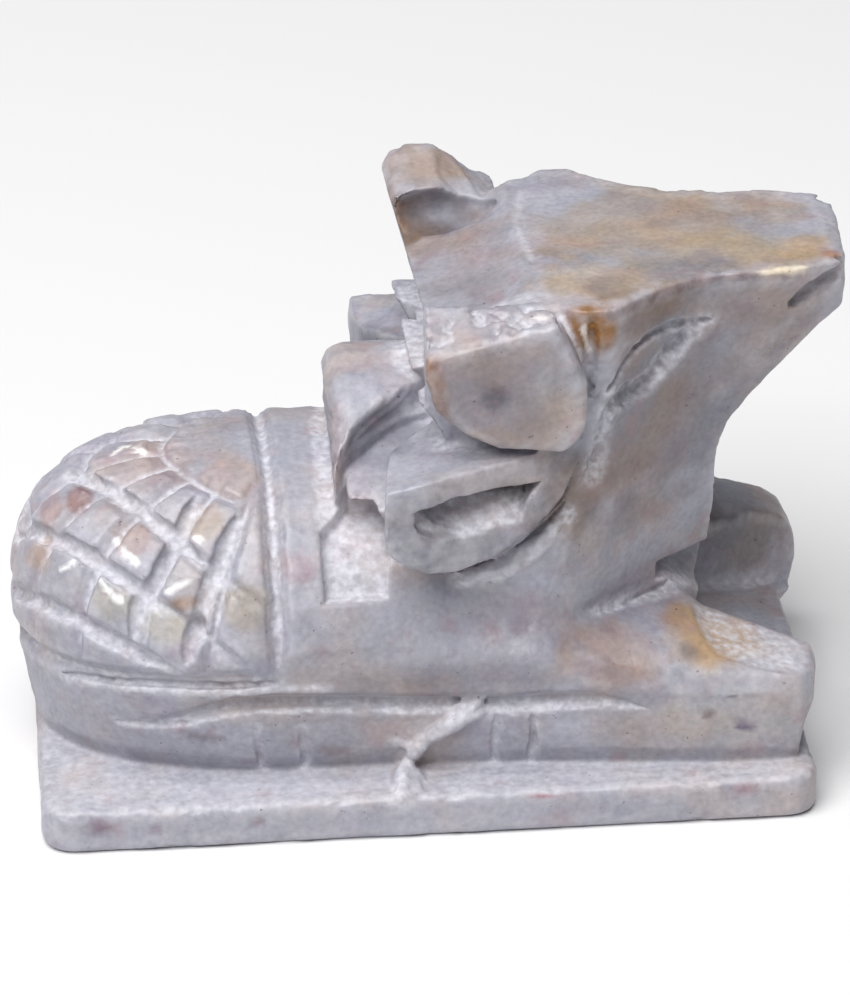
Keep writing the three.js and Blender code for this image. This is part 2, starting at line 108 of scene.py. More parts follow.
NEAR_SIDE = {
    "chest crease": (0.3, 0.3, 0.1, 0.4, [(14, -11.4, 16), (15.7, -10.3, 15.7), (20.5, -6, 15.4), (23.3, -4, 16.8)]),
    "crown scratch": (0.25, -0.1, 0.1, 0.5, [(10.2, 9.4, 44.7), (9.2, 5.1, 44.6), (9.0, 1.0, 44.6), (9.4, -3.6, 44.6)]),
}

# Flat-floored cuts on both sides: plane of the outline, depth in its middle, slopes along both axes, outline
POCKETS = {
    "ear recess": ("XZ", 1.45, (-0.02, 1.0), [
        (-1.9, 29.7), (1.2, 30.5), (5.1, 30.7), (8.9, 30.4), (7.6, 28.7), (7.2, 27.2), (5.4, 26.9), (2.5, 26.8), (0.0, 27.9),
    ]),
    "hump channel": ("XY", 0.9, (-0.05, 0), [
        (-8.6, -11.2), (-7.1, -9.9), (-5.7, -8.2), (-3.6, -6.5), (-1.5, -5.2), (1.5, -4.2), (2.6, -5.6), (0.4, -8.0),
        (-1.7, -10.2), (-2.9, -12), (-3.5, -15), (-4.1, -20), (-8.6, -20),
    ]),
    "rear fold": ("XZ", 0.65, (0, 0.75), [
        (-20.4, 8.8), (-19.3, 9.3), (-16.3, 10.2), (-13.5, 10.5), (-10.6, 10.5), (-6.3, 10.2), (-6.3, 8.0), (-9.0, 7.9),
        (-10.2, 8.5), (-13.8, 9.0), (-16.5, 8.5), (-18.8, 8.5),
    ]),
    "front fold": ("XZ", 0.6, (0, 0.8), [
        (-5.2, 9.8), (-2.4, 10.0), (1.5, 10.1), (7.5, 10.1), (13.3, 10.0), (16.4, 9.7), (17.3, 10.3), (17.6, 9.3), (20.3, 8.4),
        (17.2, 8.2), (14.0, 8.0), (7.0, 8.0), (4.1, 8.3), (0.8, 9.0), (-2.5, 9.2),
    ]),
}

# Lower end of the hump's collar, in XZ, cut back to the flank, and the flank's section there
COLLAR_END = [
    (-9, 21), (-9, 26.6), (-7, 26.3), (-5.4, 26.5), (-4.7, 26.6), (-4.2, 25.8), (-3.4, 24.8), (-2.4, 24), (-1.4, 23.4), (-1.4, 21),
]
FLANK = {"half": 16.3, "middle": 14, "rise": 13.45, "power": 2.4}

# Near knee: a plane over its top, as a point and a normal, and the outline in XZ cut away under its front
KNEE_TOP = ((21.5, -5.5, 14.0), (0.185, -0.0775, 0.98))
KNEE_FOOT = [(36, 3.9), (30.6, 3.9), (30.6, 5.3), (31.1, 7.0), (31.9, 8.6), (32.6, 10), (36, 10)]

# Wall behind the horns, leaned to the line seen in the photograph: two planes, each a normal and its offset
REAR_WALL = (((-0.9607, -0.0321, -0.2756), -11.708), ((-0.9955, 0.0942, 0.0), -1.0))

# Hollow in the far horn's inner side: centre and half-sizes
HORN_HOLLOW = ((3.4, 9.0, 43.5), (4.8, 2.2, 2.0))

# Joins worked over smoothly: centre and reach
WORKED = (
    ((7.5, -13.5, 18), (6.5, 5, 5)),
    ((7.5, 13.5, 18), (6.5, 5, 5)),
    ((3.5, 7.6, 41.7), (5, 2.6, 1.6)),
    ((6, -11, 44.6), (6, 1.6, 1.2)),
)

# Broken places: centre, reach, depth and size of the breaks
BROKEN = (
    ((4, -14.3, 44), (7.5, 2.6, 2), 0.55, 1.3),
    ((12.9, -14, 38), (1.3, 1.5, 2.5), 0.5, 0.8),
    ((-6.5, -12.5, 27), (2, 2.5, 1.2), 0.4, 1.0),
    ((-7.2, -8, 31), (1, 5, 4), 0.25, 0.9),
    ((10, -16.5, 17), (9, 3, 3), 0.16, 1.2),
)

# Powder is kept off these places: centre and reach
CLEAN = (((-3.5, -9, 30.4), (5.5, 6.5, 3)), ((-3.5, 9, 30.4), (5.5, 6.5, 3)), ((3, 9, 42.5), (7, 4, 3)))

# Colour patches, some of them painted shade and painted light as marked: centre, reach, screen colour, strength
PATCHES = (
    # head and horns
    ((22, 0, 45.5), (16, 12, 2.2), (152, 142, 136), 0.9),
    ((5, 0, 43), (6, 12, 3), (142, 134, 138), 0.8),
    ((3, 14, 45.8), (6, 5, 1.6), (152, 138, 132), 0.9),
    # Painted shade in the hollow under the far horn's top edge
    ((2.5, 9.5, 42.7), (6, 2.6, 2.4), (88, 79, 82), 0.85),
    ((-0.6, 11.5, 43), (1.6, 3, 2.5), (112, 96, 92), 0.7),
    ((26, -3, 45), (7, 4, 1.5), (163, 149, 130), 0.5),
    ((14, -8, 44.8), (5, 4, 1.2), (166, 149, 127), 0.6),
    ((31.5, -4, 44.8), (2.4, 3, 1.2), (160, 134, 104), 0.6),
    ((33.4, -5.8, 44.4), (1.0, 1.1, 1.0), (160, 108, 70), 0.7),
    # Painted highlight: the muzzle's rounded top front corner lighter and bluish
    ((34.6, 3.5, 43.8), (1.6, 4, 2.4), (176, 178, 190), 0.6),
    ((13.0, -14.4, 42.6), (2.7, 2.4, 2.7), (122, 88, 64), 0.95),
    # Painted shade: the near horn's outer upright face darker, as upper upright faces fall darker in the light
    ((5, -17, 38.5), (8.5, 2, 6), (130, 121, 123), 0.85),
    ((10, -17, 38), (2.6, 1.5, 4), (148, 145, 148), 0.6),
    ((-0.2, -17, 38.5), (1.8, 2, 4.5), (130, 104, 92), 0.8),
    ((3.5, -17, 34.8), (3.5, 1.5, 1.4), (150, 132, 120), 0.6),
    ((5.1, -17, 38.7), (1.6, 1.5, 1.4), (84, 79, 88), 0.75),
    ((4, -14.5, 44), (7, 2, 1.6), (152, 143, 146), 0.7),
    # Painted shade on the near side of head and neck, darker high up where less light falls
    ((20, -9, 34), (13, 6, 12), (124, 120, 126), 0.8),
    ((18, -12, 42.6), (5, 3, 1.8), (106, 96, 97), 0.6),
    # Painted shade on the cheek's side
    ((28, -7.5, 41), (6, 3, 3), (132, 124, 128), 0.6),
    # Painted shade on the neck's side under the ear
    ((10, -14, 28), (6, 4, 4), (112, 109, 114), 0.7),
    # chest and knees
    ((18, -9, 17), (7, 5, 2.4), (132, 121, 131), 0.6),
    ((23.5, -11.5, 13.6), (5.5, 4.5, 2.2), (168, 140, 108), 0.75),
    ((14.5, -14, 13.6), (5.5, 4, 3), (156, 132, 122), 0.65),
    ((14.8, -15, 12.4), (3, 2, 1), (156, 116, 96), 0.5),
    # Painted light: the lower near foreleg made lighter, standing in for light thrown up from the ledge
    ((25.5, -16, 8), (7.5, 3, 3.4), (170, 167, 169), 0.7),
    ((21.4, -13.7, 13.4), (1.1, 1.4, 1), (118, 112, 112), 0.8),
    ((25.7, -16.1, 7.4), (0.9, 1, 0.5), (96, 84, 108), 0.8),
    ((24.8, -16.2, 10.4), (0.4, 1, 0.4), (96, 84, 100), 0.8),
    ((22.8, -16.1, 8.7), (0.5, 1, 0.5), (112, 100, 104), 0.7),
    # Painted shade on the far foreleg's top, under the head
    ((29, 9, 12), (7, 5, 3.2), (118, 113, 116), 0.75),
    # hump and ears
    # Painted shade on the near ear's upright face
    ((3, -19, 27), (9, 3, 5), (128, 127, 132), 0.8),
    # Painted shade in the channels between hump and ears, on both sides
    ((-3.5, -8.5, 30.6), (4.5, 5, 2.2), (112, 110, 118), 0.75),
    ((-3.5, 8.5, 30.6), (4.5, 5, 2.2), (112, 110, 118), 0.75),
    ((-7.2, -8, 31), (1.2, 5, 4), (158, 146, 152), 0.6),
    # Dark maroon under the hump's near rim: stone colour, with painted shade in the undercut
    ((-6.2, -13, 27), (2, 2.5, 1.0), (112, 90, 98), 0.8),
    # flanks
    ((-10.4, -13.9, 22.6), (2.2, 2, 1.6), (160, 136, 144), 0.6),
    ((8, -15, 17.5), (7, 3, 2.6), (140, 130, 138), 0.6),
    ((-14, -15.5, 11.5), (16, 3, 1.6), (136, 134, 142), 0.6),
    ((5, -15.5, 12.5), (14, 3, 2.4), (134, 131, 137), 0.6),
    ((-18.8, -14.1, 7.7), (2.6, 1.6, 0.6), (118, 110, 116), 0.7),
    ((-8.2, -14.3, 6.0), (2, 1.6, 0.9), (132, 122, 126), 0.6),
    # cloth
    ((-31.1, -5.6, 20.3), (1.8, 2.4, 1.8), (172, 152, 138), 0.7),
    ((-23.9, -10.1, 24.0), (2.0, 2.4, 1.8), (162, 142, 138), 0.7),
    ((-17.8, -10.4, 25.3), (2.0, 2.4, 1.8), (164, 152, 142), 0.7),
    ((-25.7, -12.2, 19.8), (2.0, 2.4, 1.8), (152, 146, 136), 0.7),
    ((-21.4, -14.5, 18.3), (2.0, 2.4, 1.8), (172, 166, 154), 0.6),
    ((-15.0, -15.2, 20.3), (2.2, 2.4, 2.6), (154, 144, 132), 0.75),
    ((-20.1, -14.2, 20.2), (1.6, 2, 0.8), (140, 112, 94), 0.8),
    ((-27.7, -4.4, 25.0), (1.2, 2, 1.4), (128, 96, 100), 0.8),
    ((-30.0, -3.0, 23.6), (1.2, 2.4, 1.4), (150, 126, 128), 0.7),
    ((-22, -2, 27), (6, 5, 1.5), (160, 146, 147), 0.6),
    ((-15.6, -5, 27), (2.4, 4, 1.2), (166, 148, 142), 0.7),
    # plinth
    ((-27.3, -19, 2.6), (1.3, 1, 0.9), (122, 102, 114), 0.85),
    ((-22.8, -19, 2.1), (0.7, 1, 0.5), (130, 114, 126), 0.8),
    ((-14.5, -19, 2.4), (1.0, 1, 0.4), (132, 118, 124), 0.8),
    ((9, -19, 3.3), (1.3, 1, 0.3), (146, 96, 104), 0.8),
    ((25.6, -19, 3.1), (1.2, 1, 0.8), (142, 120, 130), 0.8),
    ((17, -19, 3), (0.8, 1, 0.5), (140, 128, 138), 0.6),
)

# Thin lines of colour, the thin white ones painted glints: radius, screen colour, strength, points
LINES_AND_GLINTS = (
    (0.5, (104, 80, 82), 0.7, [
        (14.4, -14.2, 44.2), (17.0, -12.0, 44), (20.5, -9.7, 44.2), (23.9, -8.9, 44.4), (27.2, -8.5, 44.4), (29, -8, 44.4),
    ]),
    (0.35, (226, 214, 190), 0.8, [(27.5, -8.4, 44.7), (29.2, -8, 44.7), (30.8, -7.8, 44.6)]),
    # Painted glints along edges of the cloth's bosses, in this line and the five after it
    (0.16, (245, 245, 246), 1, [(-25.0, -8.8, 23.4), (-24.2, -10.7, 23.2), (-23.4, -11.7, 22.6)]),
    (0.16, (245, 245, 246), 1, [(-26.4, -11.1, 20.9), (-25.7, -11.9, 20.3), (-24.8, -12.6, 19.8)]),
    (0.16, (240, 240, 240), 1, [(-29.5, -8.5, 20.8), (-29.0, -8.6, 21.3), (-28.5, -8.8, 21.7)]),
    (0.2, (240, 238, 236), 0.9, [(-24.7, 0.5, 26.7), (-23.8, 1.5, 26.8), (-23.0, 0.9, 27.0), (-22.1, 0.0, 26.8)]),
    (0.16, (242, 242, 242), 1, [(-21.1, -13.6, 21.0), (-20.4, -13.6, 21.5), (-19.7, -13.6, 21.8)]),
    (0.16, (236, 236, 238), 1, [(-18.7, -11.3, 24.7), (-18.0, -11.7, 24.3)]),
    # Painted glints on the near horn's right edge and on its top band, in this line and the next
    (0.2, (232, 226, 220), 0.9, [(12.2, -14.4, 43.3), (12.5, -13.9, 41.9), (12.8, -13.6, 40.9)]),
    (0.25, (222, 218, 218), 0.8, [(8.2, -14.6, 44.7), (9.2, -15, 44.4), (10, -14.4, 44.4)]),
)


def srgb(r, g, b):
    """Linear colour from screen values of 0 to 255."""
    shares = np.array([r, g, b], float) / 255
    return tuple(np.where(shares <= 0.04045, shares / 12.92, ((shares + 0.055) / 1.055) ** 2.4))


def smoothstep(low, high, x):
    t = np.clip((x - low) / (high - low), 0, 1)
    return t * t * (3 - 2 * t)


class Noise:
    """Smooth random field, about -1 to 1, over points in millimetres."""

    def __init__(self, seed):
        self.table = np.random.default_rng(seed).uniform(-1, 1, (32, 32, 32))

    def at(self, points, size):
        p = points / size
        i = np.floor(p).astype(int)
        f = p - i
        f = f * f * f * (f * (f * 6 - 15) + 10)
        total = np.zeros(len(points))
        for corner in np.ndindex(2, 2, 2):
            c = np.array(corner)
            weight = np.where(c, f, 1 - f).prod(1)
            j = (i + c) % 32
            total += weight * self.table[j[:, 0], j[:, 1], j[:, 2]]
        return total

    def layered(self, points, size, layers=3, fade=0.5):
        return sum(fade**k * self.at(points + 7.3 * k, np.array(size) / 2**k) for k in range(layers))


# Signed distance


class Field:
    """Signed distance to the stone on a grid, negative inside."""

    def __init__(self, values, low):
        self.values = values
        self.low = low

    def at(self, points):
        p = points / PITCH - self.low
        i = np.clip(np.floor(p).astype(int), 0, np.array(self.values.shape) - 2)
        f = np.clip(p - i, 0, 1)
        total = np.zeros(len(points))
        for corner in np.ndindex(2, 2, 2):
            c = np.array(corner)
            j = i + c
            total += np.where(c, f, 1 - f).prod(1) * self.values[j[:, 0], j[:, 1], j[:, 2]]
        return total

    def normals(self, points):
        slopes = np.stack([self.at(points + e) - self.at(points - e) for e in 0.4 * np.eye(3)], 1)
        return slopes / np.maximum(np.linalg.norm(slopes, axis=1, keepdims=True), 1e-9)

    def nearest(self, points):
        """The points, moved on to the surface."""
        for _ in range(5):
            points = points - self.normals(points) * self.at(points)[:, None]
        return points

    def blurred(self, sigma):
        reach = math.ceil(2.5 * sigma / PITCH)
        weights = np.exp(-0.5 * (np.arange(-reach, reach + 1) * PITCH / sigma) ** 2)
        weights /= weights.sum()
        values = self.values
        for axis in range(3):
            pad = [(reach, reach) if a == axis else (0, 0) for a in range(3)]
            wide = np.moveaxis(np.pad(values, pad, mode="edge"), axis, 0)
            count = values.shape[axis]
            total = sum(np.float32(w) * wide[k : k + count] for k, w in enumerate(weights))
            values = np.moveaxis(total, 0, axis)
        return Field(np.ascontiguousarray(values, np.float32), self.low)

    def window(self, low, high):
        """Slices of the grid that hold the box between two points."""
        first = np.clip(np.floor(low / PITCH).astype(int) - self.low, 0, self.values.shape)
        last = np.clip(np.ceil(high / PITCH).astype(int) - self.low + 1, 0, self.values.shape)
        return tuple(slice(a, b) for a, b in zip(first, last))

    def places(self, window):
        axes = [(np.arange(s.start, s.stop) + low) * PITCH for s, low in zip(window, self.low)]
        return np.stack(np.meshgrid(*axes, indexing="ij"), -1)


def field_of(points, triangles):
    low = np.floor(points.min(0) / PITCH).astype(int) - BAND - 3
    high = np.ceil(points.max(0) / PITCH).astype(int) + BAND + 3
    transform = vdb.createLinearTransform(voxelSize=PITCH)
    grid = vdb.FloatGrid.createLevelSetFromPolygons(
        points.astype(np.float32), triangles=triangles.astype(np.uint32), transform=transform, halfWidth=BAND
    )
    values = np.empty(tuple(high - low), np.float32)
    grid.copyToArray(values, ijk=tuple(int(x) for x in low))
    return Field(values, low)


def skin_of(field):
    """Points and quads where the field is zero."""
    grid = vdb.FloatGrid(BAND * PITCH)
    grid.transform = vdb.createLinearTransform(voxelSize=PITCH)
    grid.copyFromArray(field.values, ijk=tuple(int(x) for x in field.low), tolerance=0)
    return grid.convertToQuads(0)


# Carving


def spaced(points, step=0.6):
    """Even points along a polyline."""
    points = np.array(points, float)
    legs = np.r_[0, np.cumsum(np.linalg.norm(np.diff(points, axis=0), axis=1))]
    at = np.linspace(0, legs[-1], max(2, round(legs[-1] / step) + 1))
    return np.stack([np.interp(at, legs, points[:, k]) for k in range(3)], 1)


def tube(field, axis, radii, margin):
    """Signed distance to a tube on the part of the grid round it."""
    window = field.window(axis.min(0) - margin, axis.max(0) + margin)
    corner = field.low + [s.start for s in window]
    part = Field(np.full([s.stop - s.start for s in window], 9, np.float32), corner)
    for a, b, ra, rb in zip(axis, axis[1:], radii, radii[1:]):
        near = part.window(np.minimum(a, b) - margin, np.maximum(a, b) + margin)
        away = part.places(near) - a
        leg = b - a
        t = np.clip(away @ leg / (leg @ leg), 0, 1)
        gap = np.linalg.norm(away - t[..., None] * leg, axis=-1) - (ra + t * (rb - ra))
        part.values[near] = np.minimum(part.values[near], gap)
    return window, part


def carve(field, guide, stroke, seed):
    """Cuts or raises one stroke, as a tube sunk along the surface of the guide."""
    radius, depth, rough, _, points = stroke
    marks = guide.nearest(spaced(points))
    share = np.linspace(-1, 1, len(marks))
    radii = radius * (1 - 0.65 * share**6)
    raised = depth < 0
    sink = radii - abs(depth) * (1 - 0.5 * share**6)
    axis = marks + guide.normals(marks) * (-sink if raised else sink)[:, None]
    window, part = tube(field, axis, radii, radius + 0.9)
    gap = part.values
    close = np.abs(gap) < 0.8
    spots = part.places(tuple(slice(0, n) for n in gap.shape))[close]
    gap[close] += rough * Noise(seed).layered(spots, 1.1, 2)
    old = field.values[window]
    other = gap if raised else -gap
    apart = np.clip(BLEND - np.abs(old - other), 0, None) ** 2 / (4 * BLEND)
    field.values[window] = np.minimum(old, other) - apart if raised else np.maximum(old, other) + apart


def inside(outline, u, v):
    """Signed distance to an outline in its plane, positive inside."""
    nearest = np.full(u.shape, np.inf)
    within = np.zeros(u.shape, bool)
    for (au, av), (bu, bv) in zip(outline, outline[1:] + outline[:1]):
        du, dv = bu - au, bv - av
        t = np.clip(((u - au) * du + (v - av) * dv) / (du * du + dv * dv), 0, 1)
        nearest = np.minimum(nearest, np.hypot(u - au - t * du, v - av - t * dv))
        crosses = (av > v) != (bv > v)
        if dv:
            within ^= crosses & (u < au + (v - av) * du / dv)
    return np.where(within, nearest, -nearest)


def cut(field, window, hole):
    """Takes a hole, negative inside the stone that stays, out of part of the field."""
    old = field.values[window]
    apart = np.clip(BLEND - np.abs(old - hole), 0, None) ** 2 / (4 * BLEND)
    field.values[window] = np.maximum(old, hole) + apart


def press(field, guide, side, pocket):
    """Sinks the surface inside an outline to a sloping floor."""
    plane, depth, slope, outline = pocket
    upright = plane == "XZ"
    first, second = 0, (2 if upright else 1)
    spans = np.array([(-10, 14), (8, 22) if upright else (3, 21), (20, 40)], float)
    if side < 0:
        spans[1] = -spans[1, ::-1]
    window = field.window(*spans.T)
    spots = field.places(window)
    u, v = spots[..., first], spots[..., second] * (1 if upright else -side)
    middle = np.mean(outline, axis=0)
    sunk = np.maximum(depth + slope[0] * (u - middle[0]) + slope[1] * (v - middle[1]), 0)
    cut(field, window, np.minimum(guide.values[window] + sunk, inside(outline, u, v)))


def end_collar(field):
    window = field.window(np.array([-10, -20, 20]), np.array([0, 20, 31]))
    spots = field.places(window)
    x, y, z = np.moveaxis(spots, -1, 0)
    across = (np.abs(y) / FLANK["half"]) ** FLANK["power"]
    up = (np.maximum(z - FLANK["middle"], 0) / FLANK["rise"]) ** FLANK["power"]
    off = ((across + up) ** (1 / FLANK["power"]) - 1) * 14
    cut(field, window, np.min([off, inside(COLLAR_END, x, z), np.abs(y) - 9.6], axis=0))


def lean_rear(field):
    window = field.window(np.array([-3, -18, 35]), np.array([5, 19, 48]))
    spots = field.places(window)
    planes = [spots @ np.array(n) - offset for n, offset in REAR_WALL]
    cut(field, window, np.min([*planes, spots[..., 2] - 35.9], axis=0))


def shape_knee(field):
    window = field.window(np.array([19, -18, 3]), np.array([36, -1, 18]))
    spots = field.places(window)
    point, normal = (np.array(v) for v in KNEE_TOP)
    fade = smoothstep(20, 24, spots[..., 0])
    cut(field, window, np.minimum((spots - point) @ normal - 2 * (1 - fade), spots[..., 0] - 19.6))
    cut(field, window, inside(KNEE_FOOT, spots[..., 0], spots[..., 2]))


def hollow(field, centre, sizes):
    centre, sizes = np.array(centre), np.array(sizes)
    window = field.window(centre - sizes - 1, centre + sizes + 1)
    gap = (1 - np.linalg.norm((field.places(window) - centre) / sizes, axis=-1)) * sizes.min()
    cut(field, window, gap)


def work_over(field, centre, reach):
    """Smooths a join inside an ellipsoid."""
    centre, reach = np.array(centre), np.array(reach)
    window = field.window(centre - reach * 1.6, centre + reach * 1.6)
    part = Field(field.values[window], field.low)
    away = np.linalg.norm((field.places(window) - centre) / reach, axis=-1)
    share = 1 - smoothstep(0.5, 1.3, away).astype(np.float32)
    field.values[window] += share * (part.blurred(1.8).values - part.values)


def mirrored(strokes):
    return {f"far {k}": (*s[:4], [(x, -y, z) for x, y, z in s[4]]) for k, s in strokes.items()}


STROKES = {**BOTH_SIDES, **mirrored(BOTH_SIDES), **NEAR_SIDE}


def distance_to(points, marks, reach):
    """Distance of each point to a polyline, as far as the reach."""
    marks = spaced(marks, 0.2)
    inside_box = ((points > marks.min(0) - reach) & (points < marks.max(0) + reach)).all(1)
    away = np.full(len(points), float(reach) + 1)
    away[inside_box] = np.min(np.linalg.norm(points[inside_box][:, None] - marks[None], axis=-1), axis=1)
    return away


def powder_of(points, guide):
    """White dust left in the strokes, 0 to 1."""
    total = np.zeros(len(points))
    for radius, _, _, dust, marks in STROKES.values():
        if not dust:
            continue
        marks = guide.nearest(spaced(marks))
        reach = radius + 0.7
        inside = ((points > marks.min(0) - reach) & (points < marks.max(0) + reach)).all(1)
        away = np.min(np.linalg.norm(points[inside][:, None] - marks[None], axis=-1), axis=1)
        total[inside] = np.maximum(total[inside], dust * (1 - smoothstep(0.5 * radius, radius + 0.5, away)))
    return total


def floors_of(points):
    """White powder on the floors of the flat cuts seen from the side, 0 to 1."""
    total = np.zeros(len(points))
    for plane, *_, outline in POCKETS.values():
        if plane == "XZ":
            within = inside(outline, points[:, 0], points[:, 2])
            total = np.maximum(total, 0.9 * smoothstep(-0.1, 0.15, within) * (np.abs(points[:, 1]) > 12))
    return total


# Mesh


def solid_mesh(node):
    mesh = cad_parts[node].data
    mesh.calc_loop_triangles()
    points = np.empty(len(mesh.vertices) * 3, np.float32)
    mesh.vertices.foreach_get("co", points)
    triangles = np.empty(len(mesh.loop_triangles) * 3, np.int32)
    mesh.loop_triangles.foreach_get("vertices", triangles)
    return points.reshape(-1, 3) / MM, triangles.reshape(-1, 3)


def mesh_object(name, points, faces):
    mesh = bpy.data.meshes.new(name)
    mesh.from_pydata((points * MM).tolist(), [], faces.tolist())
    mesh.update()
    ob = bpy.data.objects.new(name, mesh)
    bpy.context.scene.collection.objects.link(ob)
    return ob


def thinned(ob, most):
    """The object's mesh, collapsed to at most that many triangles."""
    count = sum(len(p.vertices) - 2 for p in ob.data.polygons)
    modifier = ob.modifiers.new("thin", "DECIMATE")
    modifier.ratio = min(1, most / count)
    bpy.context.view_layer.update()
    made = bpy.data.meshes.new_from_object(ob.evaluated_get(bpy.context.evaluated_depsgraph_get()))
    ob.modifiers.clear()
    old = ob.data
    ob.data = made
    bpy.data.meshes.remove(old)
    ob.data.name = ob.name
    return ob


def places(mesh):
    points = np.empty(len(mesh.vertices) * 3, np.float32)
    mesh.vertices.foreach_get("co", points)
    normals = np.empty(len(mesh.vertices) * 3, np.float32)
    mesh.vertex_normals.foreach_get("vector", normals)
    return points.reshape(-1, 3).astype(float) / MM, normals.reshape(-1, 3).astype(float)


# Stone


def rounded(field):
    """The solid with its edges worn and its facets smoothed away where nothing is carved."""
    fine = field.blurred(ROUNDING)
    coarse = field.blurred(SMOOTHING)
    carved = smoothstep(*FACET, np.abs(fine.values - coarse.values)).astype(np.float32)
    values = coarse.values + carved * (fine.values - coarse.values)
    return Field(values, field.low), coarse


def weather(points, normals, cavity):
    """Hand-cut unevenness: broad waves, chisel ripples and chipped edges."""
    waves = 0.09 * Noise(1).at(points, 7) + 0.05 * Noise(2).at(points, 2.6)
    ripples = 0.03 * Noise(3).layered(points, 1.2)
    edge = smoothstep(0.06, 0.35, cavity)
    chips = -0.3 * edge * np.clip(Noise(4).layered(points, 2.0) - 0.15, 0, 1)
    chips *= 1 - 0.8 * smoothstep(30, 33, points[:, 0])
    depth = waves + ripples + chips
    for k, (centre, reach, deep, size) in enumerate(BROKEN):
        share = 1 - smoothstep(0.7, 1.1, np.linalg.norm((points - centre) / reach, axis=1))
        depth -= deep * share * np.clip(Noise(60 + k).layered(points, size) + 0.1, 0, 1)
    keep = smoothstep(0.02, 0.4, points[:, 2])
    return points + normals * (depth * keep)[:, None]


def colours_with_painted_light(points, normals, cavity):
    base = np.array(srgb(158, 157, 166))
    colours = np.tile(base, (len(points), 1))
    wobble = 0.35 * Noise(12).layered(points, 3)
    # Some patches are painted shade and painted light, as marked in the table
    for centre, reach, colour, strength in PATCHES:
        d = np.linalg.norm((points - centre) / reach, axis=1) + wobble
        share = strength * (1 - smoothstep(0.55, 1.15, d))[:, None]
        colours = colours * (1 - share) + np.array(srgb(*colour)) * share
    colours *= 1 + 0.1 * Noise(11).layered(points, 4)[:, None]
    tan = np.array(srgb(170, 152, 140)) - np.array(srgb(158, 157, 166))
    colours += np.clip(Noise(13).layered(points, 6), -0.2, 0.8)[:, None] * 0.5 * tan
    mauve = 0.3 * smoothstep(0.25, 0.7, Noise(14).layered(points, 2.6))[:, None]
    colours = colours * (1 - mauve) + mauve * colours * np.array([0.72, 0.62, 0.72])
    # The thin white lines are painted glints
    for radius, colour, strength, marks in LINES_AND_GLINTS:
        share = strength * (1 - smoothstep(0.6 * radius, radius + 0.2, distance_to(points, marks, radius + 0.3)))
        colours = colours * (1 - share[:, None]) + np.array(srgb(*colour)) * share[:, None]
    return colours


def store(mesh, name, kind, values):
    attribute = mesh.attributes.new(name, kind, "POINT")
    if kind == "FLOAT_COLOR":
        full = np.concatenate([values, np.ones((len(values), 1))], axis=1)
        attribute.data.foreach_set("color", full.astype(np.float32).ravel())
    else:
        attribute.data.foreach_set("value", values.astype(np.float32))


class Nodes:
    """Short way to write a node tree."""

    def __init__(self, tree):
        self.tree = tree

    def add(self, kind, inputs=(), **settings):
        node = self.tree.nodes.new(kind)
        for name, value in settings.items():
            setattr(node, name, value)
        for name, value in dict(inputs).items():
            if isinstance(value, bpy.types.NodeSocket):
                self.tree.links.new(value, node.inputs[name])
            else:
                node.inputs[name].default_value = value
        return node

    def attribute(self, name, output="Fac"):
        return self.add("ShaderNodeAttribute", attribute_name=name).outputs[output]

    def noise(self, vector, scale, detail=2.0):
        node = self.add("ShaderNodeTexNoise", {"Vector": vector, "Scale": scale, "Detail": detail})
        return node.outputs["Fac"]

    def stretched(self, vector, scale, sizes, detail=2.0):
        moved = self.add("ShaderNodeMapping", {"Vector": vector, "Scale": sizes})
        return self.noise(moved.outputs["Vector"], scale, detail)

    def ramp(self, value, low, high, start=0.0, end=1.0):
        node = self.add("ShaderNodeMapRange", {
            "Value": value, "From Min": low, "From Max": high, "To Min": start, "To Max": end,
        })
        return node.outputs["Result"]

    def times(self, a, b):
        return self.add("ShaderNodeMath", {0: a, 1: b}, operation="MULTIPLY").outputs[0]

    def plus(self, a, b):
        return self.add("ShaderNodeMath", {0: a, 1: b}, operation="ADD").outputs[0]

    def mix(self, share, a, b, blend="MIX"):
        node = self.add("ShaderNodeMix", data_type="RGBA", blend_type=blend)
        for socket, value in zip((node.inputs[0], node.inputs[6], node.inputs[7]), (share, a, b)):
            if isinstance(value, bpy.types.NodeSocket):
                self.tree.links.new(value, socket)
            else:
                socket.default_value = value
        return node.outputs[2]


